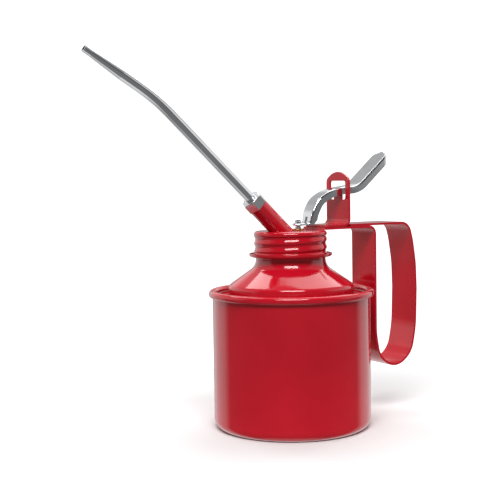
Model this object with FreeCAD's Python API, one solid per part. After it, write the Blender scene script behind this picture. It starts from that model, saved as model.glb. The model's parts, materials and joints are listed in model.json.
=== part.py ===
"""Hand pump oil can: sheet steel can, screw cap carrying the pump, lever, handle and spout.

Frame: +Z up, origin at the centre of the flat base ring, on the can's axis.
The spout points to -X, the handle and the thumb pad to +X, and XZ is the plane of symmetry.
Lengths are in millimetres and angles in degrees.
"""
import FreeCAD, Part
import math
import os

os.makedirs("parts", exist_ok=True)
V = FreeCAD.Vector

# ---- driving dimensions -------------------------------------------------------------------
# can
CAN_R = 40.0            # outside of the can's wall
CAN_H = 70.0            # top of the rolled rim
SHEET = 0.5             # sheet thickness of can, shoulder and cap
BASE_CORNER_R = 4.5
BASE_RING_IN_R = 30.5   # inside of the flat ring that the can stands on
BASE_RECESS = 1.6
BASE_SLOPE = 3.0        # width of the slope between the ring and the raised floor
BASE_SLOPE_R = 1.5
BASE_RING_R = 1.0
RIM_OVERHANG = 1.85
RIM_TALL = 3.6
RIM_CURL_IN = 3.65      # how far the curl reaches inwards from its outside
RIM_CURL_DOWN = 1.7
RIM_FOOT_R = 0.3
RIM_OUT_R = 1.3
RIM_TOP_R = 1.8
RIM_IN_R = 1.5

# shoulder and neck
SHOULDER_R = 31.8       # step of the dome, inside the rim
MOAT_DEPTH = 3.4        # floor of the channel behind the rim, below the rim's top
SHOULDER_STEP = 5.6     # height of the dome's step above the channel's floor
CONE_SLOPE = 35.0
CONE_BLEND_R = 6.5
SHOULDER_CORNER_R = 2.6
MOAT_CORNER_R = 1.0
MOAT_EDGE = 2.3         # upturned edge that is seamed to the can's wall
NECK_R = 17.7           # outside of the neck's rolled thread
NECK_H = 31.0           # top of the neck above the channel's floor
NECK_RIM = 1.5          # width of the turned-in rim that the gasket seals on
NECK_RIM_R = 0.7

# screw cap
CAP_WALL_R = 18.5       # outside of the cap's rolled thread
CAP_CORNER_R = 1.6
CAP_SKIRT = 13.0        # cap's top to the underside of its lip
LIP_R = 21.05
LIP_CURL = 1.6
LIP_BEND_R = 0.8
LIP_EDGE_R = 0.6
GASKET_T = 1.5
GASKET_IN_R = 15.0

# bent strip: handle and lever bracket
STRIP_W = 19.0
STRIP_T = 1.2
STRIP_START_X = 15.0
CAN_CLEARANCE = 5.25    # rim of the can to the inner leg, which swings round it as the cap turns
HAND_ROOM = 29.2        # inner leg's face towards the can to the outer leg's inside face
LOOP_TALL = 75.0        # cap's top to the outline's lowest corner of the loop
LEG_CORNER_R = 3.4
LEG_END = (19.0, 40.0)              # end of the straight inner leg above the loop's bottom, bend radius
LOOP_TOE = (2.4, 6.0, 12.0)         # in from the inner leg, above the loop's bottom, bend radius
LOOP_SOLE = (-0.6, -1.6, 11.0)      # from the middle of the loop, above the loop's bottom, bend radius
LOOP_HEEL = (-3.6, 6.5, 14.0)       # from the outer leg, above the loop's bottom, bend radius
LOOP_CALF = (-0.6, 21.0, 60.0)
LOOP_WAIST = 41.0                   # widest point of the loop above its bottom
LOOP_BACK = (-0.5, 55.0, 60.0)
LOOP_NECK = (-2.6, 68.0, 40.0)
LOOP_SHOULDER = (-5.4, 7.0)         # top outer corner from the outer leg, bend radius
BRACKET_X = 30.2        # face of the bracket towards the spout
BRACKET_H = 25.0        # shoulder of the bracket above its foot's underside
BRACKET_ARCH = 3.2
BRACKET_CORNER = 2.2    # width of the rounded shoulder beside the arch
BRACKET_BEND_R = 2.6
BRACKET_FOOT_INSET = 1.5
WINDOW_W = 13.0
WINDOW_TOP = 23.5       # top of the window above the foot's underside
WINDOW_CORNER_R = 1.4
SLOT_BOTTOM = 13.8      # bottom of the two flange slots above the foot's underside
SLOT_FLAT = 0.05        # flat left between a slot's two rounded corners
TONGUE_W = 6.4
HANDLE_END_GAP = 0.25

# lever
LEVER_T = 1.1
LEVER_DEPTH = 3.8
ARM_W = 9.2
PAD_W = 12.2
TAB_W = 6.6
LEVER_TILT_GAP = 0.2    # between the lever's web and the rounded edge that it rocks on
TAB_RISE = 2.4          # tab's underside above the cap's top
TAB_TIP_X = 1.9
WEB_RISE = 18.1         # web's top at the bracket above the tab's top
WEB_BEND_R = 30.0
WEB_BEND = 9.0          # turn of the web's top line over the bracket
ARM_LINE = [            # web's top line from the tab to the bracket: x, above the tab's top, bend radius
    (9.6, 0.0, 1.6),
    (10.6, 4.9, 14.0),
    (14.5, 12.1, 12.0),
    (22.0, 16.3, 20.0),
]
PAD_FOOT = (39.4, 0.4, 13.0)        # foot of the thumb pad: x, above the web's top, bend radius
PAD_TIP = (60.6, 18.2)              # end of the thumb pad: x, above the web's top
PAD_ROUND = 1.6         # bulge of the pad's end
PAD_CORNER_R = 3.0
PAD_WIDENING = 2.4
FLANGE_HEEL = (11.2, 4.0)           # sloped heel of the flanges: x of its start, run and rise
TAB_WIDENING = (9.0, 11.5)          # x at which the tab starts and stops widening into the arm
ARM_CLEARANCE = 0.6                 # bracket to the start of the wider pad

# pump
PUMP_X = 4.8
ROD_R = 1.5
BLADE_LONG = 2.2
BLADE_THICK = 1.6
BLADE_GAP = 0.6         # rest gap between the rod's blade and the front of the lever's slot
BLADE_ROOT = 0.6        # height of the blade's root above the gland bush
BLADE_TOP = 0.6         # blade above the link pin
PIN_R = 0.5
PIN_LEN = 4.4
PIN_GAP = 0.15
SLOT_W = 2.0
SLOT_END_X = 14.0       # the lever's slot runs up the sloping web as far as this
SLOT_END_RISE = 3.2
BARREL_R = 6.0
BARREL_WALL = 0.6
BARREL_BOTTOM_Z = 40.0
HEAD_T = 2.0
BUSH_R = 2.4
BUSH_FLANGE_R = 2.9
BUSH_FLANGE_T = 0.8
RUN_FIT = 0.05          # radial gap of every running fit
PACKING_T = 1.5
SEAT_T = 0.7
SEAT_GAP = 0.4          # radial gap of the spring seat round the rod
PISTON_Z = 60.0
PISTON_FLANGE_T = 2.5
PISTON_FLANGE_GAP = 0.2
STEM_R = 2.4
STEM_LEN = 6.6
PISTON_BORE_R = 1.2
CUP_BASE_T = 1.0
CUP_TALL = 3.0
CUP_LIP_T = 0.95
CUP_HUB_T = 1.0
CUP_WASHER_GAP = 0.8    # radial gap between the cup's washer and the barrel's wall
CUP_WASHER_T = 0.8
PISTON_NUT_AF = 7.6
PISTON_NUT_T = 2.4
CAGE_R = 3.6
CAGE_TALL = 7.5
CAGE_WALL = 1.1
CAGE_ROOM = 4.0
CAGE_PORT_R = 1.0
CAGE_PORT_AT = 0.6      # height of the cross ports as a share of the ball's room
CAGE_ROOF = 1.0         # cage's roof between the ball's room and the rod's seat
PISTON_BALL_R = 1.8
SEAT_LIFT = 0.05        # rest gap between a ball and its seat
SPRING_GAP = 0.55       # between the spring's coils and the barrel's wall
SPRING_WIRE = 0.9
SPRING_TURNS = 8.0

# foot valve and suction tube
VALVE_TALL = 5.0
VALVE_FLANGE_OUT = 0.6  # valve's flange beyond the barrel's outside
VALVE_FLANGE_T = 1.5
BOSS_R = 4.0
BOSS_TALL = 4.5
FOOT_BORE_R = 1.4
FOOT_BALL_R = 2.0
FOOT_CAGE_R = 4.2
FOOT_CAGE_TALL = 5.5
FOOT_CAGE_WALL = 1.4
FOOT_ROOM = 4.7
SUCTION_R = 3.2
SUCTION_WALL = 0.5
SUCTION_SEAT = 4.0
SUCTION_BOTTOM_Z = 5.5
STRAINER_R = 3.9
STRAINER_TALL = 5.5
STRAINER_FLOOR = 0.6
STRAINER_BELOW = 1.5
STRAINER_HOLE_R = 0.4
STRAINER_PITCH_R = 1.6
STRAINER_HOLES = 6

# spout
SPOUT_X = -5.6          # where the spout's axis meets the cap's top
SPOUT_ANGLE = 42.7
SPOUT_BASE_R = 4.9
SPOUT_BASE_WALL = 0.7
SPOUT_BASE_LEN = 19.3
SPOUT_ROOT = 20.0       # spout base below the cap's top before it is trimmed to the barrel
SPOUT_SADDLE = 0.8      # depth that the trimmed base wraps round the barrel
SEAT_BORE_R = 2.2
PORT_R = 1.6            # delivery port in the barrel's wall
PORT_DROP = 1.8         # port's axis below the underside of the spring seat
PORT_LEN = 3.0
NUT_AF = 9.7
NUT_TALL = 5.4
NUT_CHAMFER = 0.9
NUT_SHANK = 6.0
NUT_SEAT_GAP = 0.1
TUBE_R = 2.65
TUBE_WALL = 0.6
COLLAR_T = 1.8
COLLAR_GAP = 0.1
WASHER_T = 1.2
WASHER_FIT = 0.1
SPOUT_BEND_AT = 95.0    # along the spout's axis from the cap's top
SPOUT_BEND = 11.7
SPOUT_BEND_R = 90.0
SPOUT_END_RUN = 41.2    # bend point to the open tip
TIP_R = 1.8
TIP_TAPER = 17.0
TIP_LAND = 4.0
TIP_BORE_R = 1.1

OVERCUT = 1.0           # how far a cutting shape runs past the material

# ---- levels and radii that follow ----------------------------------------------------------
MOAT_Z = CAN_H - MOAT_DEPTH
NECK_TOP_Z = MOAT_Z + NECK_H
CAP_TOP_Z = NECK_TOP_Z + GASKET_T + SHEET
CAP_UNDER_Z = CAP_TOP_Z - SHEET
INNER_LEG_X = CAN_R + RIM_OVERHANG + CAN_CLEARANCE
OUTER_LEG_X = INNER_LEG_X + HAND_ROOM
LOOP_BOTTOM_Z = CAP_TOP_Z - LOOP_TALL
BORE_R = BARREL_R - BARREL_WALL
SPRING_R = BORE_R - SPRING_GAP - SPRING_WIRE / 2
CUP_WASHER_R = BORE_R - CUP_WASHER_GAP
VALVE_FLANGE_R = BARREL_R + VALVE_FLANGE_OUT
HEAD_UNDER_Z = CAP_UNDER_Z - HEAD_T
PACKING_UNDER_Z = HEAD_UNDER_Z - PACKING_T
SPRING_TOP_Z = PACKING_UNDER_Z - SEAT_T
PISTON_TOP_Z = PISTON_Z + PISTON_FLANGE_T
FOOT_Z = CAP_TOP_Z + STRIP_T
PIVOT_X = BRACKET_X + STRIP_T / 2
TAB_TOP_Z = CAP_TOP_Z + TAB_RISE + LEVER_T
WEB_TOP_Z = TAB_TOP_Z + WEB_RISE
WEB_DIP = WEB_BEND_R * (1 / math.cos(math.radians(WEB_BEND / 2)) - 1)
PIVOT_Z = WEB_TOP_Z - WEB_DIP - LEVER_T - LEVER_TILT_GAP - STRIP_T / 2
PIN_Z = TAB_TOP_Z + PIN_GAP + PIN_R
VALVE_TOP_Z = BARREL_BOTTOM_Z + VALVE_TALL


# ---- helpers --------------------------------------------------------------------------------
def rounded_path(corners):
    """Wire in the XZ plane through (x, z, fillet radius) corners; end radii are ignored."""
    points = [V(x, 0, z) for x, z, _ in corners]
    edges = []
    last = points[0]
    for before, (here, corner), after in zip(points, zip(points[1:-1], corners[1:-1]), points[2:]):
        radius = corner[2]
        into = (here - before).normalize()
        out = (after - here).normalize()
        turn = into.getAngle(out)
        reach = radius * math.tan(turn / 2)
        if reach < 1e-6:
            continue
        start = here - into * reach
        end = here + out * reach
        inward = (out - into).normalize()
        centre = here + inward * (radius / math.cos(turn / 2))
        middle = centre - inward * radius
        edges.append(Part.LineSegment(last, start).toShape())
        edges.append(Part.Arc(start, middle, end).toShape())
        last = end
    edges.append(Part.LineSegment(last, points[-1]).toShape())
    return Part.Wire(edges)


def band(corners, near, far):
    """Face between two offsets to the left of a path that runs in the XZ plane."""
    path = rounded_path(corners)
    lines = []
    for distance in (near, far):
        lines.append(offset_line(path, distance))
    first, second = lines
    closing = [
        Part.LineSegment(end_point(first), end_point(second)).toShape(),
        Part.LineSegment(start_point(second), start_point(first)).toShape(),
    ]
    edges = first + [closing[0]] + [e for e in reversed(second)] + [closing[1]]
    return Part.Face(Part.Wire(Part.__sortEdges__(edges)))


def offset_line(path, distance):
    """Edges of a smooth path moved to its left by a distance."""
    moved = []
    for edge in path.Edges:
        ends = [edge.FirstParameter, (edge.FirstParameter + edge.LastParameter) / 2, edge.LastParameter]
        spots = []
        for parameter in ends:
            along = edge.tangentAt(parameter)
            if edge.Orientation == "Reversed":
                along = along * -1
            spots.append(edge.valueAt(parameter) + V(-along.z, 0, along.x) * distance)
        if edge.Curve.TypeId == "Part::GeomLine":
            moved.append(Part.LineSegment(spots[0], spots[2]).toShape())
        else:
            moved.append(Part.Arc(spots[0], spots[1], spots[2]).toShape())
    return moved


def start_point(edges):
    return edges[0].valueAt(edges[0].FirstParameter)


def end_point(edges):
    return edges[-1].valueAt(edges[-1].LastParameter)


def turned(face):
    """Solid of revolution about Z."""
    return face.revolve(V(0, 0, 0), V(0, 0, 1), 360)


def across(face, width):
    """Prism along Y, centred on the plane of symmetry."""
    prism = face.extrude(V(0, width, 0))
    prism.translate(V(0, -width / 2, 0))
    return prism


def rod(radius, bottom, top, x=PUMP_X):
    return Part.makeCylinder(radius, top - bottom, V(x, 0, bottom))


def ring(outer, inner, bottom, top, x=PUMP_X):
    return rod(outer, bottom, top, x).cut(rod(inner, bottom, top, x))


def hexagon(flats, bottom, top):
    corner = flats / math.sqrt(3)
    points = [
        V(corner * math.cos(math.radians(60 * i)), corner * math.sin(math.radians(60 * i)), bottom)
        for i in range(7)
    ]
    return Part.Face(Part.makePolygon(points)).extrude(V(0, 0, top - bottom))


def box(x0, x1, width, z0, z1):
    return Part.makeBox(x1 - x0, width, z1 - z0, V(x0, -width / 2, z0))


SPOUT_DIR = V(-math.cos(math.radians(SPOUT_ANGLE)), 0, math.sin(math.radians(SPOUT_ANGLE)))
SPOUT_FOOT = V(SPOUT_X, 0, CAP_TOP_Z)


def on_spout(shape):
    """Place a shape built on +Z so that its axis becomes the spout's axis."""
    moved = shape.copy()
    moved.rotate(V(0, 0, 0), V(0, 1, 0), SPOUT_ANGLE - 90)
    moved.translate(SPOUT_FOOT)
    return moved


def spout_rod(radius, start, end):
    return on_spout(Part.makeCylinder(radius, end - start, V(0, 0, start)))


# ---- can ------------------------------------------------------------------------------------
def can_body():
    outside_r = CAN_R + RIM_OVERHANG
    curl_r = outside_r - RIM_CURL_IN
    rim_z = CAN_H - RIM_TALL
    corners = [
        (0, BASE_RECESS, 0),
        (BASE_RING_IN_R - BASE_SLOPE, BASE_RECESS, BASE_SLOPE_R),
        (BASE_RING_IN_R, 0, BASE_RING_R),
        (CAN_R, 0, BASE_CORNER_R),
        (CAN_R, rim_z, RIM_FOOT_R),
        (outside_r, rim_z, RIM_OUT_R),
        (outside_r, CAN_H, RIM_TOP_R),
        (curl_r, CAN_H, RIM_IN_R),
        (curl_r, CAN_H - RIM_CURL_DOWN, 0),
    ]
    return turned(band(corners, 0, SHEET))


def can_shoulder():
    cone_foot_z = MOAT_Z + SHOULDER_STEP
    cone_rise = (SHOULDER_R - NECK_R) * math.tan(math.radians(CONE_SLOPE))
    lip_r = CAN_R - 2 * SHEET
    corners = [
        (NECK_R - NECK_RIM, NECK_TOP_Z, 0),
        (NECK_R, NECK_TOP_Z, NECK_RIM_R),
        (NECK_R, cone_foot_z + cone_rise, CONE_BLEND_R),
        (SHOULDER_R, cone_foot_z, SHOULDER_CORNER_R),
        (SHOULDER_R, MOAT_Z, MOAT_CORNER_R),
        (lip_r, MOAT_Z, MOAT_CORNER_R),
        (lip_r, MOAT_Z + MOAT_EDGE, 0),
    ]
    return turned(band(corners, 0, -SHEET))


# ---- screw cap ------------------------------------------------------------------------------
def screw_cap():
    lip_top_z = CAP_TOP_Z - CAP_SKIRT + SHEET
    corners = [
        (0, CAP_TOP_Z, 0),
        (CAP_WALL_R, CAP_TOP_Z, CAP_CORNER_R),
        (CAP_WALL_R, lip_top_z, LIP_BEND_R),
        (LIP_R - SHEET, lip_top_z, LIP_EDGE_R),
        (LIP_R - SHEET, lip_top_z + LIP_CURL - SHEET, 0),
    ]
    shell = turned(band(corners, 0, -SHEET))
    shell = shell.cut(rod(BUSH_R, CAP_UNDER_Z, CAP_TOP_Z))
    return shell.cut(spout_rod(SPOUT_BASE_R, -SPOUT_ROOT, SPOUT_BASE_LEN))


def cap_gasket():
    return ring(CAP_WALL_R - CAP_CORNER_R, GASKET_IN_R, NECK_TOP_Z, CAP_UNDER_Z, x=0)


# ---- handle and bracket ---------------------------------------------------------------------
def handle_strip():
    top_z = FOOT_Z + STRIP_T
    middle_x = (INNER_LEG_X + OUTER_LEG_X) / 2
    leg_end, leg_end_r = LEG_END
    waist = (OUTER_LEG_X, LOOP_BOTTOM_Z + LOOP_WAIST, 0)
    lower = [
        (STRIP_START_X, CAP_TOP_Z, 0),
        (INNER_LEG_X, CAP_TOP_Z, LEG_CORNER_R),
        (INNER_LEG_X, LOOP_BOTTOM_Z + leg_end, leg_end_r),
        loop_corner(INNER_LEG_X, LOOP_TOE),
        loop_corner(middle_x, LOOP_SOLE),
        loop_corner(OUTER_LEG_X, LOOP_HEEL),
        loop_corner(OUTER_LEG_X, LOOP_CALF),
        waist,
    ]
    shoulder_in, shoulder_r = LOOP_SHOULDER
    upper = [
        waist,
        loop_corner(OUTER_LEG_X, LOOP_BACK),
        loop_corner(OUTER_LEG_X, LOOP_NECK),
        (OUTER_LEG_X + shoulder_in, top_z, shoulder_r),
        (BRACKET_X + STRIP_T + HANDLE_END_GAP, top_z, 0),
    ]
    first = across(band(lower, 0, STRIP_T), STRIP_W)
    second = across(band(upper, 0, STRIP_T), STRIP_W)
    return first.fuse(second).removeSplitter()


def loop_corner(x, corner):
    """Corner of the handle's loop, placed from x and from the loop's bottom."""
    aside, rise, radius = corner
    return (x + aside, LOOP_BOTTOM_Z + rise, radius)


def bracket_face():
    """Outline of the upright, flat in the YZ plane: straight sides, rounded shoulders and an arch."""
    half = STRIP_W / 2
    side_z = FOOT_Z + BRACKET_H
    straight_z = side_z - BRACKET_CORNER
    arch_y = half - BRACKET_CORNER
    arch_z = side_z + BRACKET_CORNER / 3
    bend = BRACKET_CORNER / 4
    left = V(0, -half, FOOT_Z)
    right = V(0, half, FOOT_Z)
    left_top = V(0, -half, straight_z)
    right_top = V(0, half, straight_z)
    left_arch = V(0, -arch_y, arch_z)
    right_arch = V(0, arch_y, arch_z)
    edges = [
        Part.LineSegment(right, left).toShape(),
        Part.LineSegment(left, left_top).toShape(),
        Part.Arc(left_top, V(0, bend - half, side_z - bend), left_arch).toShape(),
        Part.Arc(left_arch, V(0, 0, side_z + BRACKET_ARCH), right_arch).toShape(),
        Part.Arc(right_arch, V(0, half - bend, side_z - bend), right_top).toShape(),
        Part.LineSegment(right_top, right).toShape(),
    ]
    return Part.Face(Part.Wire(edges))


def lever_bracket():
    back_x = BRACKET_X + STRIP_T
    bend_z = FOOT_Z + BRACKET_BEND_R + STRIP_T
    slot_z = FOOT_Z + SLOT_BOTTOM
    upright = bracket_face().extrude(V(STRIP_T, 0, 0))
    upright.translate(V(BRACKET_X, 0, 0))
    below = box(BRACKET_X - OVERCUT, back_x + OVERCUT, STRIP_W + OVERCUT, FOOT_Z - OVERCUT, bend_z)
    corners = [
        (STRIP_START_X + BRACKET_FOOT_INSET, FOOT_Z, 0),
        (back_x, FOOT_Z, BRACKET_BEND_R + STRIP_T),
        (back_x, bend_z + OVERCUT, 0),
    ]
    bent = across(band(corners, 0, STRIP_T), STRIP_W)
    tongue = box(BRACKET_X, back_x, TONGUE_W, slot_z - OVERCUT, PIVOT_Z)
    edge = Part.makeCylinder(STRIP_T / 2, TONGUE_W, V(PIVOT_X, -TONGUE_W / 2, PIVOT_Z), V(0, 1, 0))
    return upright.cut([below, rounded_window()]).fuse([bent, tongue, edge]).removeSplitter()


def rounded_window():
    """Window with small upper corners and wide lower corners, which end the flange slots."""
    low = FOOT_Z + SLOT_BOTTOM
    high = FOOT_Z + WINDOW_TOP
    block = box(BRACKET_X - OVERCUT, BRACKET_X + STRIP_T + OVERCUT, WINDOW_W, low, high)
    slot_r = (WINDOW_W - TONGUE_W) / 4 - SLOT_FLAT
    lower = [e for e in block.Edges if e.BoundBox.XLength > STRIP_T and e.BoundBox.ZMax < low + OVERCUT]
    block = block.makeFillet(slot_r, lower)
    upper = [e for e in block.Edges if e.BoundBox.XLength > STRIP_T and e.BoundBox.ZMin > high - OVERCUT]
    return block.makeFillet(WINDOW_CORNER_R, upper)


# ---- lever ----------------------------------------------------------------------------------
def lever_line():
    """Top line of the lever's web, from the tab's tip to the end of the thumb pad."""
    arm = [(x, TAB_TOP_Z + rise, radius) for x, rise, radius in ARM_LINE]
    foot_x, foot_rise, foot_r = PAD_FOOT
    tip_x, tip_rise = PAD_TIP
    pad = [
        (PIVOT_X, WEB_TOP_Z, WEB_BEND_R),
        (foot_x, WEB_TOP_Z + foot_rise, foot_r),
        (tip_x, WEB_TOP_Z + tip_rise, 0),
    ]
    return [(TAB_TIP_X, TAB_TOP_Z, 0)] + arm + pad


def lever_plan(inset):
    """Prism over the lever's outline from above: tab, narrow arm, wider pad with a rounded end."""
    tab = TAB_W / 2 - inset
    arm = ARM_W / 2 - inset
    pad = PAD_W / 2 - inset
    tab_end, arm_start = TAB_WIDENING
    arm_end = BRACKET_X + STRIP_T + ARM_CLEARANCE
    tip_x = PAD_TIP[0] - inset
    side = [
        V(TAB_TIP_X, tab, 0),
        V(tab_end, tab, 0),
        V(arm_start, arm, 0),
        V(arm_end, arm, 0),
        V(arm_end + PAD_WIDENING, pad, 0),
        V(tip_x - PAD_ROUND, pad, 0),
    ]
    mirror = [V(p.x, -p.y, 0) for p in reversed(side)]
    edges = [Part.LineSegment(a, b).toShape() for a, b in zip(side, side[1:])]
    edges.append(Part.Arc(side[-1], V(tip_x, 0, 0), mirror[0]).toShape())
    edges += [Part.LineSegment(a, b).toShape() for a, b in zip(mirror, mirror[1:])]
    edges.append(Part.LineSegment(mirror[-1], side[0]).toShape())
    prism = Part.Face(Part.Wire(edges)).extrude(V(0, 0, WEB_TOP_Z))
    prism.translate(V(0, 0, CAP_TOP_Z))
    corner_x = tip_x - PAD_ROUND
    upright = [e for e in prism.Edges if e.BoundBox.ZLength > OVERCUT]
    corners = [e for e in upright if abs(e.BoundBox.XMin - corner_x) < RUN_FIT]
    return prism.makeFillet(PAD_CORNER_R - inset, corners)


def below_tab(deep):
    """Prism below the tab that also takes the heel off the flanges at the foot of the arm."""
    under_z = TAB_TOP_Z - LEVER_T
    low_z = under_z - LEVER_DEPTH - OVERCUT
    heel_x, heel = FLANGE_HEEL
    points = [
        V(TAB_TIP_X - OVERCUT, 0, low_z),
        V(TAB_TIP_X - OVERCUT, 0, under_z),
        V(heel_x, 0, under_z),
        V(heel_x + heel, 0, under_z + heel),
        V(PIVOT_X, 0, under_z + heel),
        V(PIVOT_X, 0, low_z),
    ]
    return across(Part.Face(Part.makePolygon(points + points[:1])), deep)


def lever():
    line = lever_line()
    deep = PAD_W + OVERCUT
    block = across(band(line, 0, -LEVER_DEPTH), deep).common(lever_plan(0))
    hollow = across(band(line, -LEVER_T, -LEVER_DEPTH - OVERCUT), deep).common(lever_plan(LEVER_T))
    under_z = TAB_TOP_Z - LEVER_T
    under_tab = below_tab(deep)
    round_x = TAB_TIP_X + TAB_W / 2
    tip = Part.makeCylinder(TAB_W / 2, LEVER_T, V(round_x, 0, under_z))
    nose = box(TAB_TIP_X - OVERCUT, round_x, TAB_W + OVERCUT, under_z, TAB_TOP_Z).cut(tip)
    slot_x = PUMP_X - BLADE_LONG / 2 - BLADE_GAP + SLOT_W / 2
    slot = box(slot_x, SLOT_END_X, SLOT_W, under_z - OVERCUT, TAB_TOP_Z + SLOT_END_RISE)
    slot_end = Part.makeCylinder(SLOT_W / 2, LEVER_T + 2 * OVERCUT, V(slot_x, 0, under_z - OVERCUT))
    return block.cut([hollow, under_tab, nose, slot, slot_end])


# ---- pump head ------------------------------------------------------------------------------
def gland_bush():
    top = CAP_TOP_Z + BUSH_FLANGE_T
    body = rod(BUSH_R, HEAD_UNDER_Z, CAP_TOP_Z).fuse(rod(BUSH_FLANGE_R, CAP_TOP_Z, top))
    return body.cut(rod(ROD_R + RUN_FIT, HEAD_UNDER_Z, top)).removeSplitter()


def barrel_head():
    return ring(BORE_R, BUSH_R, HEAD_UNDER_Z, CAP_UNDER_Z)


def rod_packing():
    return ring(BORE_R, ROD_R + RUN_FIT, PACKING_UNDER_Z, HEAD_UNDER_Z)


def spring_seat():
    return ring(BORE_R, ROD_R + SEAT_GAP, SPRING_TOP_Z, PACKING_UNDER_Z)


def delivery_port():
    """Round port in the barrel's wall under the spring seat, inside the spout base's footprint."""
    start = V(PUMP_X - BARREL_R - OVERCUT, 0, SPRING_TOP_Z - PORT_DROP)
    return Part.makeCylinder(PORT_R, PORT_LEN, start, V(1, 0, 0))


def pump_barrel():
    return ring(BARREL_R, BORE_R, BARREL_BOTTOM_Z, CAP_UNDER_Z).cut(delivery_port())


# ---- moving pump parts ----------------------------------------------------------------------
def piston_rod():
    bottom = PISTON_TOP_Z + CAGE_ROOM + CAGE_ROOF
    neck_z = CAP_TOP_Z + BUSH_FLANGE_T + BLADE_ROOT
    top = PIN_Z + PIN_R + BLADE_TOP
    blade = box(PUMP_X - BLADE_LONG / 2, PUMP_X + BLADE_LONG / 2, BLADE_THICK, neck_z, top)
    return rod(ROD_R, bottom, neck_z).fuse(blade).cut(link_pin())


def link_pin():
    return Part.makeCylinder(PIN_R, PIN_LEN, V(PUMP_X, -PIN_LEN / 2, PIN_Z), V(0, 1, 0))


def piston():
    flange = rod(BORE_R - PISTON_FLANGE_GAP, PISTON_Z, PISTON_TOP_Z)
    stem_z = PISTON_Z - STEM_LEN
    body = flange.fuse(rod(STEM_R, stem_z, PISTON_Z))
    return body.cut(rod(PISTON_BORE_R, stem_z, PISTON_TOP_Z)).removeSplitter()


def piston_cup():
    bottom = PISTON_Z - CUP_TALL
    outer = BORE_R - RUN_FIT
    trough = ring(outer - CUP_LIP_T, STEM_R + CUP_HUB_T, bottom + CUP_BASE_T, PISTON_Z)
    return ring(outer, STEM_R, bottom, PISTON_Z).cut(trough)


def cup_washer():
    top = PISTON_Z - CUP_TALL
    return ring(CUP_WASHER_R, STEM_R, top - CUP_WASHER_T, top)


def piston_nut():
    top = PISTON_Z - CUP_TALL - CUP_WASHER_T
    nut = hexagon(PISTON_NUT_AF, top - PISTON_NUT_T, top)
    nut.translate(V(PUMP_X, 0, 0))
    return nut.cut(rod(STEM_R, top - PISTON_NUT_T, top))


def ball_cage(outer, wall, room, tall, bottom, port_r):
    """Cup turned upside down over a ball, cross drilled so that oil can pass."""
    cage = rod(outer, bottom, bottom + tall).cut(rod(outer - wall, bottom, bottom + room))
    height = bottom + room * CAGE_PORT_AT
    reach = outer + OVERCUT
    ports = []
    for direction in (V(1, 0, 0), V(0, 1, 0)):
        start = V(PUMP_X, 0, height) - direction * reach
        ports.append(Part.makeCylinder(port_r, 2 * reach, start, direction))
    return cage.cut(ports)


def piston_cage():
    cage = ball_cage(CAGE_R, CAGE_WALL, CAGE_ROOM, CAGE_TALL, PISTON_TOP_Z, CAGE_PORT_R)
    return cage.cut(rod(ROD_R, PISTON_TOP_Z + CAGE_ROOM + CAGE_ROOF, PISTON_TOP_Z + CAGE_TALL))


def ball_on_seat(radius, bore, seat_z):
    height = seat_z + math.sqrt(radius**2 - bore**2) + SEAT_LIFT
    return Part.makeSphere(radius, V(PUMP_X, 0, height))


def return_spring():
    low = PISTON_TOP_Z + SPRING_WIRE / 2
    high = SPRING_TOP_Z - SPRING_WIRE / 2
    helix = Part.makeHelix((high - low) / SPRING_TURNS, high - low, SPRING_R)
    section = Part.Wire(Part.makeCircle(SPRING_WIRE / 2, V(SPRING_R, 0, 0), V(0, 1, 0)))
    coil = Part.Wire(helix).makePipeShell([section], True, True)
    coil.translate(V(PUMP_X, 0, low))
    return coil


# ---- foot valve and suction -----------------------------------------------------------------
def foot_valve_body():
    plug = rod(BORE_R, BARREL_BOTTOM_Z, VALVE_TOP_Z)
    flange = rod(VALVE_FLANGE_R, BARREL_BOTTOM_Z - VALVE_FLANGE_T, BARREL_BOTTOM_Z)
    boss_z = BARREL_BOTTOM_Z - VALVE_FLANGE_T - BOSS_TALL
    boss = rod(BOSS_R, boss_z, BARREL_BOTTOM_Z - VALVE_FLANGE_T)
    body = plug.fuse([flange, boss])
    body = body.cut(rod(FOOT_BORE_R, boss_z, VALVE_TOP_Z))
    return body.cut(rod(SUCTION_R, boss_z, boss_z + SUCTION_SEAT)).removeSplitter()


def foot_cage():
    cage = ball_cage(FOOT_CAGE_R, FOOT_CAGE_WALL, FOOT_ROOM, FOOT_CAGE_TALL, VALVE_TOP_Z, CAGE_PORT_R)
    return cage.cut(rod(CAGE_PORT_R, VALVE_TOP_Z, VALVE_TOP_Z + FOOT_CAGE_TALL))


def suction_tube():
    top = BARREL_BOTTOM_Z - VALVE_FLANGE_T - BOSS_TALL + SUCTION_SEAT
    return ring(SUCTION_R, SUCTION_R - SUCTION_WALL, SUCTION_BOTTOM_Z, top)


def suction_strainer():
    bottom = SUCTION_BOTTOM_Z - STRAINER_BELOW
    floor_z = bottom + STRAINER_FLOOR
    cup = rod(STRAINER_R, bottom, bottom + STRAINER_TALL)
    cup = cup.cut(rod(SUCTION_R, floor_z, bottom + STRAINER_TALL))
    holes = [rod(STRAINER_HOLE_R, bottom, floor_z)]
    for i in range(STRAINER_HOLES):
        angle = 2 * math.pi * i / STRAINER_HOLES
        hole = rod(STRAINER_HOLE_R, bottom, floor_z)
        hole.translate(V(math.cos(angle), math.sin(angle), 0) * STRAINER_PITCH_R)
        holes.append(hole)
    return cup.cut(holes)


# ---- spout ----------------------------------------------------------------------------------
SHANK_START = SPOUT_BASE_LEN - NUT_SHANK
COLLAR_START = SHANK_START - COLLAR_GAP - COLLAR_T
WASHER_START = COLLAR_START - COLLAR_GAP - WASHER_T
BASE_BORE_R = SPOUT_BASE_R - SPOUT_BASE_WALL


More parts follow.
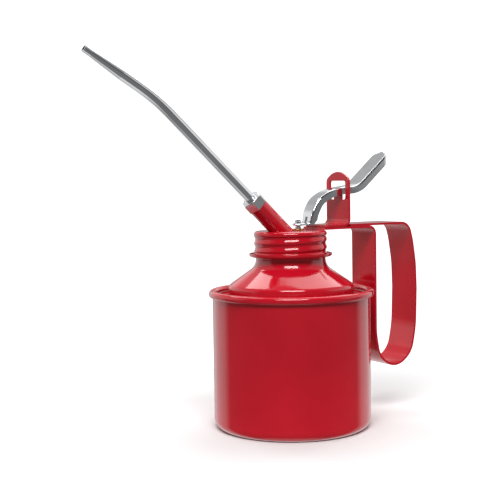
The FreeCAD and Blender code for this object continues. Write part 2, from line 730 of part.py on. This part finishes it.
def spout_base():
    tube = spout_rod(SPOUT_BASE_R, -SPOUT_ROOT, SPOUT_BASE_LEN)
    saddle_x = PUMP_X - BARREL_R + SPOUT_SADDLE
    cuts = [
        spout_rod(BASE_BORE_R, WASHER_START, SPOUT_BASE_LEN + OVERCUT),
        spout_rod(SEAT_BORE_R, -SPOUT_ROOT, WASHER_START + OVERCUT),
        rod(BARREL_R, 0, CAP_UNDER_Z),
        box(saddle_x, CAN_R, 2 * CAN_R, 0, CAP_UNDER_Z),
        delivery_port(),
    ]
    trimmed = tube.cut(cuts)
    return max(trimmed.Solids, key=lambda solid: solid.Volume)


def spout_washer():
    disc = spout_rod(BASE_BORE_R - WASHER_FIT, WASHER_START, WASHER_START + WASHER_T)
    return disc.cut(spout_rod(SEAT_BORE_R, WASHER_START, WASHER_START + WASHER_T))


def spout_collar():
    disc = spout_rod(BASE_BORE_R - RUN_FIT, COLLAR_START, COLLAR_START + COLLAR_T)
    return disc.cut(spout_rod(TUBE_R, COLLAR_START, COLLAR_START + COLLAR_T))


def spout_nut():
    top = SPOUT_BASE_LEN + NUT_TALL
    seat = SPOUT_BASE_LEN + NUT_SEAT_GAP
    corner_r = NUT_AF / math.sqrt(3)
    straight = Part.makeCylinder(corner_r, NUT_TALL - NUT_CHAMFER, V(0, 0, SPOUT_BASE_LEN))
    crown = Part.makeCone(corner_r, corner_r - NUT_CHAMFER, NUT_CHAMFER, V(0, 0, top - NUT_CHAMFER))
    head = hexagon(NUT_AF, seat, top).common(straight.fuse(crown))
    nut = on_spout(head).fuse(spout_rod(BASE_BORE_R - RUN_FIT, SHANK_START, seat))
    return nut.cut(spout_rod(TUBE_R + RUN_FIT, SHANK_START, top + OVERCUT)).removeSplitter()


def spout_run(radius, tip_r):
    """Solid round the spout's axis: straight run, gentle bend, straight run, taper, short land."""
    reach = SPOUT_BEND_R * math.tan(math.radians(SPOUT_BEND / 2))
    bend_start = SPOUT_BEND_AT - reach
    pivot = V(SPOUT_BEND_R, 0, bend_start)
    disc = Part.Face(Part.Wire(Part.makeCircle(radius, V(0, 0, bend_start), V(0, 0, 1))))
    pieces = [
        Part.makeCylinder(radius, bend_start - COLLAR_START, V(0, 0, COLLAR_START)),
        disc.revolve(pivot, V(0, 1, 0), SPOUT_BEND),
    ]
    last_run = SPOUT_END_RUN - reach - TIP_TAPER - TIP_LAND
    taper_start = bend_start + last_run
    ends = [
        Part.makeCylinder(radius, last_run, V(0, 0, bend_start)),
        Part.makeCone(radius, tip_r, TIP_TAPER, V(0, 0, taper_start)),
        Part.makeCylinder(tip_r, TIP_LAND, V(0, 0, taper_start + TIP_TAPER)),
    ]
    for piece in ends:
        piece.rotate(pivot, V(0, 1, 0), SPOUT_BEND)
        pieces.append(piece)
    return pieces[0].fuse(pieces[1:]).removeSplitter()


def spout_tube():
    tube = spout_run(TUBE_R, TIP_R).cut(spout_run(TUBE_R - TUBE_WALL, TIP_BORE_R))
    tube.rotate(V(0, 0, 0), V(0, 0, 1), 180)
    return on_spout(tube)


# ---- build ----------------------------------------------------------------------------------
NODES = {
    "can_body": can_body,
    "can_shoulder": can_shoulder,
    "screw_cap": screw_cap,
    "cap_gasket": cap_gasket,
    "handle_strip": handle_strip,
    "lever_bracket": lever_bracket,
    "lever": lever,
    "gland_bush": gland_bush,
    "barrel_head": barrel_head,
    "rod_packing": rod_packing,
    "spring_seat": spring_seat,
    "pump_barrel": pump_barrel,
    "piston_rod": piston_rod,
    "link_pin": link_pin,
    "piston": piston,
    "piston_cup": piston_cup,
    "cup_washer": cup_washer,
    "piston_nut": piston_nut,
    "piston_cage": piston_cage,
    "piston_ball": lambda: ball_on_seat(PISTON_BALL_R, PISTON_BORE_R, PISTON_TOP_Z),
    "return_spring": return_spring,
    "foot_valve_body": foot_valve_body,
    "foot_cage": foot_cage,
    "foot_ball": lambda: ball_on_seat(FOOT_BALL_R, FOOT_BORE_R, VALVE_TOP_Z),
    "suction_tube": suction_tube,
    "suction_strainer": suction_strainer,
    "spout_base": spout_base,
    "spout_washer": spout_washer,
    "spout_collar": spout_collar,
    "spout_nut": spout_nut,
    "spout_tube": spout_tube,
}

for name, make in NODES.items():
    shape = make()
    if not shape.isValid():
        print("not valid:", name)
    print(name, len(shape.Solids), round(shape.Volume, 1))
    shape.exportStep("parts/" + name + ".step")
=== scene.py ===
"""Looks of the hand pump oil can: bevelled and threaded sheet metal pieces, materials, studio, camera."""
import json
import math

import bmesh
import bpy
from mathutils import Matrix, Vector

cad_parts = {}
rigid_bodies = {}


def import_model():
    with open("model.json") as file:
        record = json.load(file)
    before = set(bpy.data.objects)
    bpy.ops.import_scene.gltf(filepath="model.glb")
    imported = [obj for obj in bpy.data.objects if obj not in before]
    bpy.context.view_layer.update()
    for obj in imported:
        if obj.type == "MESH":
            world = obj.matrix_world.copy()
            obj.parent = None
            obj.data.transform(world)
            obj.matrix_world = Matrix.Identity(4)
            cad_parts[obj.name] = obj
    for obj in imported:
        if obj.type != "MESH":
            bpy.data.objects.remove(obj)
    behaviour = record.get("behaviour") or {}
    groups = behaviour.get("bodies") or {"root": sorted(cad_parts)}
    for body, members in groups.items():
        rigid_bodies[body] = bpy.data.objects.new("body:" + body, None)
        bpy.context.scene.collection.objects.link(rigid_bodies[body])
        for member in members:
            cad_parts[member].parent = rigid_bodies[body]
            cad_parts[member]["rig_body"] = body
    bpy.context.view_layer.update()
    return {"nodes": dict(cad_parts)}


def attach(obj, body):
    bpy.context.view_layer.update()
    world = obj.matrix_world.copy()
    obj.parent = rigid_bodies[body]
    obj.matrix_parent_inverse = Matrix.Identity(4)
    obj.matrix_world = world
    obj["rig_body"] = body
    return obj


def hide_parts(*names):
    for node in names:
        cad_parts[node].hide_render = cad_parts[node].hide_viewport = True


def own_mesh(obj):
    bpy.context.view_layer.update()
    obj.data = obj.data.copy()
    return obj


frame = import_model()
scene = bpy.context.scene
scene.view_settings.view_transform = "Standard"
MM = 0.001

# ---- studio directions ----------------------------------------------------------------------
CAMERA_AT = Vector((-0.3040, -0.4342, 0.1264))
CAMERA_FORWARD = Vector((0.54006, 0.83897, -0.06852)).normalized()
CAMERA_UP = Vector((0.04951, 0.04757, 0.99763)).normalized()
CAMERA_LENS = 75.29
CAMERA_SIDE = Vector((-0.5413, -0.8409, 0.0))      # level direction from the can to the camera
CAMERA_RIGHT = Vector((0.8409, -0.5413, 0.0))

# ---- rolled thread of the cap and the neck ----------------------------------------------------
THREAD_PITCH = 4.0
THREAD_CREST_Z = 93.3       # height of one crest at THREAD_CREST_AT degrees round the can
THREAD_CREST_AT = 145.0
THREAD_DEPTH = 0.62
THREAD_ROW = 0.2
CAP_WALL = (17.9, 18.6)     # radii between which the cap's wall lies
CAP_THREAD = (88.3, 97.7)
NECK_WALL = (17.1, 17.8)
NECK_THREAD = (86.6, 97.2)
THREAD_FADE = 0.8

# ---- rounded edges: piece, width in mm, width along the upper outline ---------------------------
EASED_FROM = math.radians(40.0)     # edges bent more than this are rounded
OUTLINE_FROM = 1.5                  # the lever's slot lies nearer the middle than this
SHARP_FROM = 50.0                   # edges bent more than this, in degrees, are shaded as sharp
EASED = {
    "handle_strip": ("handle_strip_rounded", 0.3, None),
    "lever_bracket": ("lever_bracket_rounded", 0.25, None),
    "lever": ("lever_pressed", 0.2, 0.95),
    "spout_nut": ("spout_nut_chamfered", 0.15, None),
    "spout_base": ("spout_base_rounded", 0.12, None),
    "gland_bush": ("gland_bush_turned", 0.12, None),
    "piston_rod": ("piston_rod_turned", 0.1, None),
    "link_pin": ("link_pin_turned", 0.1, None),
}

# ---- studio -------------------------------------------------------------------------------------
FLOOR_R = 0.125
FLOOR_BACK = 0.045                  # floor's middle behind the can's axis
FLOOR_SPOKES = 96
FLOOR_DROP = 0.05
OUTSIDE_LEVEL = 1.3                 # white seen behind everything
BELOW_BY_SIDE = ((-0.97, 0.45), (-0.9, 0.95), (-0.45, 0.95), (-0.25, 0.2))
BELOW_BY_HEIGHT = ((-0.97, 0.95), (-0.85, 0.0))
ABOVE_BY_SIDE = ((-0.985, 0.35), (-0.93, 1.0), (0.18, 1.0), (0.4, 0.12))
ABOVE_BY_HEIGHT = ((0.38, 1.0), (0.5, 0.55), (0.7, 0.5), (0.9, 0.3))
PANELS = (      # name, right, back and up from the can, height aimed at, width, length, watts
    ("ceiling_left", -0.47, 0.5, 1.02, 0.08, 0.36, 0.5, 2.2),
    ("ceiling_right", 0.2, 0.5, 0.9, 0.08, 0.68, 0.8, 4.6),
    ("front", 0.0, -0.62, 0.8, 0.05, 0.6, 0.35, 9.0),
)


NOISE_ROUGHNESS = 0.55


# ---- materials ------------------------------------------------------------------------------
def new_material(name):
    material = bpy.data.materials.new(name)
    material.use_nodes = True
    nodes = material.node_tree.nodes
    shader = nodes["Principled BSDF"]
    return material, nodes, material.node_tree.links, shader


def object_noise(nodes, links, scale, detail, stretch=(1.0, 1.0, 1.0)):
    """Noise over the object's own coordinates; scale is in cycles per metre."""
    place = nodes.new("ShaderNodeTexCoord")
    mapping = nodes.new("ShaderNodeMapping")
    mapping.inputs["Scale"].default_value = stretch
    noise = nodes.new("ShaderNodeTexNoise")
    noise.inputs["Scale"].default_value = scale
    noise.inputs["Detail"].default_value = detail
    noise.inputs["Roughness"].default_value = NOISE_ROUGHNESS
    links.new(place.outputs["Object"], mapping.inputs["Vector"])
    links.new(mapping.outputs["Vector"], noise.inputs["Vector"])
    return noise.outputs["Fac"]


def ranged(nodes, links, source, low, high, first=0.3, last=0.7):
    """Noise value between first and last spread over low to high."""
    spread = nodes.new("ShaderNodeMapRange")
    spread.inputs["From Min"].default_value = first
    spread.inputs["From Max"].default_value = last
    spread.inputs["To Min"].default_value = low
    spread.inputs["To Max"].default_value = high
    links.new(source, spread.inputs["Value"])
    return spread.outputs["Result"]


def two_tone(nodes, links, source, dark, light, first=0.35, last=0.65):
    """Colour that runs from dark to light as the source runs from first to last."""
    ramp = nodes.new("ShaderNodeValToRGB")
    ramp.color_ramp.elements[0].position = first
    ramp.color_ramp.elements[0].color = (*dark, 1.0)
    ramp.color_ramp.elements[1].position = last
    ramp.color_ramp.elements[1].color = (*light, 1.0)
    links.new(source, ramp.inputs["Fac"])
    return ramp.outputs["Color"]


def bumped(nodes, links, shader, source, height):
    """Surface relief of a height in millimetres."""
    bump = nodes.new("ShaderNodeBump")
    bump.inputs["Distance"].default_value = height * MM
    links.new(source, bump.inputs["Height"])
    links.new(bump.outputs["Normal"], shader.inputs["Normal"])


def enamel():
    material, nodes, links, shader = new_material("red_enamel_look")
    broad = object_noise(nodes, links, 28.0, 2.0)
    colour = two_tone(nodes, links, broad, (0.49, 0.004, 0.015), (0.55, 0.006, 0.019))
    links.new(colour, shader.inputs["Base Color"])
    smear = object_noise(nodes, links, 90.0, 4.0)
    links.new(ranged(nodes, links, smear, 0.07, 0.13), shader.inputs["Roughness"])
    peel = object_noise(nodes, links, 420.0, 2.0)
    bumped(nodes, links, shader, peel, 0.006)
    shader.inputs["IOR"].default_value = 1.45
    shader.inputs["Coat Weight"].default_value = 0.25
    shader.inputs["Coat Roughness"].default_value = 0.04
    return material


def plated(name, dark, light, rough, streak, relief, scale=500.0):
    """Plated metal with fine polishing streaks and slight changes of brightness."""
    material, nodes, links, shader = new_material(name)
    shader.inputs["Metallic"].default_value = 1.0
    broad = object_noise(nodes, links, 60.0, 3.0)
    colour = two_tone(nodes, links, broad, dark, light)
    links.new(colour, shader.inputs["Base Color"])
    fine = object_noise(nodes, links, scale, 4.0, streak)
    links.new(ranged(nodes, links, fine, *rough), shader.inputs["Roughness"])
    bumped(nodes, links, shader, fine, relief)
    return material


def brass_look():
    material, nodes, links, shader = new_material("brass_look")
    shader.inputs["Metallic"].default_value = 1.0
    tarnish = object_noise(nodes, links, 140.0, 5.0)
    colour = two_tone(nodes, links, tarnish, (0.52, 0.35, 0.13), (0.78, 0.58, 0.28))
    links.new(colour, shader.inputs["Base Color"])
    turning = object_noise(nodes, links, 900.0, 2.0, (0.12, 0.12, 3.0))
    links.new(ranged(nodes, links, turning, 0.22, 0.38), shader.inputs["Roughness"])
    bumped(nodes, links, shader, turning, 0.01)
    return material


def rubber_look():
    material, nodes, links, shader = new_material("rubber_look")
    dust = object_noise(nodes, links, 600.0, 5.0)
    colour = two_tone(nodes, links, dust, (0.018, 0.018, 0.02), (0.05, 0.05, 0.052))
    links.new(colour, shader.inputs["Base Color"])
    links.new(ranged(nodes, links, dust, 0.55, 0.75), shader.inputs["Roughness"])
    bumped(nodes, links, shader, dust, 0.03)
    return material


def felt_look():
    material, nodes, links, shader = new_material("felt_look")
    fibre = object_noise(nodes, links, 1500.0, 6.0, (1.0, 0.4, 1.6))
    colour = two_tone(nodes, links, fibre, (0.42, 0.36, 0.26), (0.78, 0.72, 0.6))
    links.new(colour, shader.inputs["Base Color"])
    shader.inputs["Roughness"].default_value = 0.95
    shader.inputs["Sheen Weight"].default_value = 0.4
    bumped(nodes, links, shader, fibre, 0.12)
    return material


def leather_look():
    material, nodes, links, shader = new_material("leather_look")
    place = nodes.new("ShaderNodeTexCoord")
    grain = nodes.new("ShaderNodeTexVoronoi")
    grain.inputs["Scale"].default_value = 1800.0
    links.new(place.outputs["Object"], grain.inputs["Vector"])
    stain = object_noise(nodes, links, 240.0, 4.0)
    colour = two_tone(nodes, links, stain, (0.16, 0.075, 0.03), (0.38, 0.2, 0.09))
    links.new(colour, shader.inputs["Base Color"])
    links.new(ranged(nodes, links, stain, 0.38, 0.6), shader.inputs["Roughness"])
    bumped(nodes, links, shader, grain.outputs["Distance"], 0.06)
    return material


LOOKS = {
    "red_enamel": enamel(),
    "chrome_plate": plated(
        "chrome_look", (0.66, 0.67, 0.69), (0.76, 0.77, 0.79), (0.05, 0.13), (1.0, 1.0, 1.0), 0.0012),
    "zinc_bright": plated(
        "bright_nut_look", (0.62, 0.63, 0.65), (0.78, 0.79, 0.8), (0.24, 0.36), (1.0, 0.3, 2.0), 0.002,
        900.0),
    "zinc_steel": plated(
        "zinc_look", (0.46, 0.47, 0.49), (0.64, 0.65, 0.67), (0.2, 0.38), (0.6, 0.6, 1.8), 0.006),
    "spring_steel": plated(
        "spring_look", (0.26, 0.26, 0.28), (0.46, 0.46, 0.48), (0.22, 0.4), (1.0, 1.0, 2.5), 0.005, 900.0),
    "ball_steel": plated(
        "ball_look", (0.58, 0.58, 0.6), (0.66, 0.66, 0.68), (0.03, 0.09), (1.0, 1.0, 1.0), 0.001),
    "brass": brass_look(),
    "gasket_rubber": rubber_look(),
    "felt": felt_look(),
    "leather_cup": leather_look(),
}


# ---- detailed copies of CAD nodes -------------------------------------------------------------
def slot_of(node):
    return frame["nodes"][node].material_slots[0].material.name.split(".")[0]


def body_of(node):
    return frame["nodes"][node]["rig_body"]


def welded_copy(node, dissolve):
    """Editable copy of a node's mesh with its doubled points welded and flat areas made whole."""
    work = bmesh.new()
    work.from_mesh(frame["nodes"][node].data)
    bmesh.ops.remove_doubles(work, verts=work.verts[:], dist=1e-6)
    if dissolve:
        bmesh.ops.dissolve_limit(
            work, angle_limit=math.radians(0.3), verts=work.verts[:], edges=work.edges[:])
    return work


def shown(work, name, node):
    """Turn the edited copy into a piece that stands for its node."""
    mesh = bpy.data.meshes.new(name)
    work.to_mesh(mesh)
    work.free()
    for attribute in ("custom_normal", "sharp_edge", "sharp_face"):
        if attribute in mesh.attributes:
            mesh.attributes.remove(mesh.attributes[attribute])
    mesh.polygons.foreach_set("use_smooth", [True] * len(mesh.polygons))
    mesh.set_sharp_from_angle(angle=math.radians(SHARP_FROM))
    mesh.materials.clear()
    slot = slot_of(node)
    mesh.materials.append(LOOKS[slot])
    piece = bpy.data.objects.new(name, mesh)
    scene.collection.objects.link(piece)
    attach(piece, body_of(node))
    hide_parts(node)
    return piece


def rounded(work, edges, width, segments, clamped=True):
    bmesh.ops.bevel(
        work, geom=edges, offset=width * MM, offset_type="OFFSET", segments=segments,
        profile=0.5, affect="EDGES", clamp_overlap=clamped, loop_slide=True)


def on_outline(edge):
    """Whether an edge joins the upper side of a pressed strip to its outer wall."""
    middle = (edge.verts[0].co + edge.verts[1].co) / 2
    slopes = sorted((face.normal.z, abs(face.normal.z)) for face in edge.link_faces)
    return abs(middle.y) > OUTLINE_FROM * MM and slopes[0][1] < 0.05 and slopes[1][0] > 0.1


def eased(node, name, width, outline=None):
    """Copy of a node whose sharp edges are rounded by a width in millimetres."""
    work = welded_copy(node, True)
    sharp = [e for e in work.edges if len(e.link_faces) == 2 and e.calc_face_angle(0.0) > EASED_FROM]
    if outline:
        rounded(work, [e for e in sharp if on_outline(e)], outline, 5, False)
        sharp = [e for e in work.edges if len(e.link_faces) == 2 and e.calc_face_angle(0.0) > EASED_FROM]
    rounded(work, sharp, width, 3)
    piece = shown(work, name, node)
    normals = piece.modifiers.new("normals", "WEIGHTED_NORMAL")
    normals.keep_sharp = True
    normals.weight = 80
    return piece


def thread_depth(height, turn, levels):
    """How far the rolled thread is pressed in at a height and an angle, both of the can's own."""
    crest = THREAD_CREST_Z + THREAD_PITCH * (math.degrees(turn) - THREAD_CREST_AT) / 360.0
    phase = (height - crest) / THREAD_PITCH
    wave = 0.5 - 0.5 * math.cos(2.0 * math.pi * phase)
    low, high = levels
    start = min(max((height - low) / THREAD_FADE, 0.0), 1.0)
    end = min(max((high - height) / THREAD_FADE, 0.0), 1.0)
    ease = min(start, end)
    return THREAD_DEPTH * wave * ease * ease * (3.0 - 2.0 * ease)


def threaded(node, name, wall, levels):
    """Copy of a node with a rolled thread pressed into its upright wall."""
    work = welded_copy(node, False)
    low, high = levels
    rows = int((high - low) / THREAD_ROW)
    for row in range(rows + 1):
        height = (low + row * THREAD_ROW) * MM
        everything = work.verts[:] + work.edges[:] + work.faces[:]
        bmesh.ops.bisect_plane(work, geom=everything, plane_co=(0, 0, height), plane_no=(0, 0, 1))
    for vert in work.verts:
        radius = math.hypot(vert.co.x, vert.co.y) / MM
        height = vert.co.z / MM
        if wall[0] < radius < wall[1] and low < height < high:
            turn = math.atan2(vert.co.y, vert.co.x)
            depth = thread_depth(height, turn, levels)
            factor = (radius - depth) / radius
            vert.co.x *= factor
            vert.co.y *= factor
    return shown(work, name, node)


for name, (piece_name, width, outline) in EASED.items():
    eased(name, piece_name, width, outline)
threaded("screw_cap", "screw_cap_threaded", CAP_WALL, CAP_THREAD)
threaded("can_shoulder", "can_shoulder_threaded", NECK_WALL, NECK_THREAD)

coils = shown(welded_copy("return_spring", False), "return_spring_coils", "return_spring")
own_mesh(coils)

for name, node in frame["nodes"].items():
    look = LOOKS[slot_of(name)]
    for place in node.material_slots:
        place.material = look


# ---- floor, light and camera ------------------------------------------------------------------
def floor():
    work = bmesh.new()
    middle = CAMERA_SIDE * -FLOOR_BACK
    rim = []
    for i in range(FLOOR_SPOKES):
        turn = 2 * math.pi * i / FLOOR_SPOKES
        rim.append(work.verts.new((
            middle.x + FLOOR_R * math.cos(turn), middle.y + FLOOR_R * math.sin(turn),
            -FLOOR_DROP * MM)))
    work.faces.new(rim)
    mesh = bpy.data.meshes.new("floor")
    work.to_mesh(mesh)
    work.free()
    material, nodes, links, shader = new_material("pale_floor")
    grain = object_noise(nodes, links, 6.0, 2.0)
    colour = two_tone(nodes, links, grain, (0.80, 0.80, 0.80), (0.83, 0.83, 0.83))
    links.new(colour, shader.inputs["Base Color"])
    shader.inputs["Roughness"].default_value = 0.7
    shader.inputs["Specular IOR Level"].default_value = 0.1
    mesh.materials.append(material)
    sheet = bpy.data.objects.new("floor", mesh)
    sheet.visible_glossy = False
    scene.collection.objects.link(sheet)


def panel(name, place, target, width, height, power):
    """Soft rectangular light that faces a target."""
    data = bpy.data.lights.new(name, "AREA")
    data.shape = "RECTANGLE"
    data.size = width
    data.size_y = height
    data.energy = power
    light = bpy.data.objects.new(name, data)
    light.location = place
    light.rotation_mode = "QUATERNION"
    light.rotation_quaternion = (Vector(target) - Vector(place)).to_track_quat("-Z", "Y")
    light.visible_camera = False
    scene.collection.objects.link(light)


def ramped(nodes, links, source, low, high, stops):
    """Grey level read off stops of (value, level) while the source runs from low to high."""
    ramp = nodes.new("ShaderNodeValToRGB")
    elements = ramp.color_ramp.elements
    while len(elements) < len(stops):
        elements.new(0.5)
    for element, (value, level) in zip(elements, stops):
        element.position = (value - low) / (high - low)
        element.color = (level, level, level, 1.0)
    links.new(ranged(nodes, links, source, 0.0, 1.0, low, high), ramp.inputs["Fac"])
    return ramp.outputs["Color"]


def maths(nodes, links, operation, first, second):
    step = nodes.new("ShaderNodeMath")
    step.operation = operation
    links.new(first, step.inputs[0])
    links.new(second, step.inputs[1])
    return step.outputs["Value"]


def blended(nodes, links, factor, first, second):
    mix = nodes.new("ShaderNodeMix")
    links.new(factor, mix.inputs["Factor"])
    links.new(first, mix.inputs["A"])
    if isinstance(second, float):
        mix.inputs["B"].default_value = second
    else:
        links.new(second, mix.inputs["B"])
    return mix.outputs["Result"]


def surround():
    """Dim room with white side walls, a grey gap far behind the can and a soft ceiling."""
    world = bpy.data.worlds.new("studio")
    scene.world = world
    world.use_nodes = True
    nodes = world.node_tree.nodes
    links = world.node_tree.links
    background = nodes["Background"]
    place = nodes.new("ShaderNodeTexCoord")
    facing = nodes.new("ShaderNodeVectorMath")
    facing.operation = "DOT_PRODUCT"
    facing.inputs[1].default_value = CAMERA_SIDE
    links.new(place.outputs["Generated"], facing.inputs[0])
    towards = facing.outputs["Value"]
    split = nodes.new("ShaderNodeSeparateXYZ")
    links.new(place.outputs["Generated"], split.inputs["Vector"])
    height = split.outputs["Z"]
    below = ramped(nodes, links, towards, -1.0, 1.0, BELOW_BY_SIDE)
    under = ramped(nodes, links, height, -1.0, 1.0, BELOW_BY_HEIGHT)
    below = maths(nodes, links, "MAXIMUM", below, under)
    walls = ramped(nodes, links, towards, -1.0, 1.0, ABOVE_BY_SIDE)
    storey = ramped(nodes, links, height, -1.0, 1.0, ABOVE_BY_HEIGHT)
    above = maths(nodes, links, "MULTIPLY", walls, storey)
    horizon = ranged(nodes, links, height, 0.0, 1.0, -0.04, 0.06)
    room = blended(nodes, links, horizon, below, above)
    path = nodes.new("ShaderNodeLightPath")
    seen = blended(nodes, links, path.outputs["Is Camera Ray"], room, OUTSIDE_LEVEL)
    links.new(seen, background.inputs["Strength"])
    background.inputs["Color"].default_value = (1.0, 1.0, 1.0, 1.0)


def camera():
    data = bpy.data.cameras.new("camera")
    data.lens = CAMERA_LENS
    data.sensor_width = 36.0
    data.clip_start = 0.01
    data.clip_end = 20.0
    eye = bpy.data.objects.new("camera", data)
    right = CAMERA_FORWARD.cross(CAMERA_UP).normalized()
    up = right.cross(CAMERA_FORWARD)
    turn = Matrix((right, up, -CAMERA_FORWARD)).transposed()
    eye.matrix_world = Matrix.Translation(CAMERA_AT) @ turn.to_4x4()
    scene.collection.objects.link(eye)
    scene.camera = eye


floor()
surround()
back = -CAMERA_SIDE
high = Vector((0, 0, 1))
for name, aside, behind, rise, aim, width, length, watts in PANELS:
    place = CAMERA_RIGHT * aside + back * behind + high * rise
    panel(name, place, (0, 0, aim), width, length, watts)
camera()
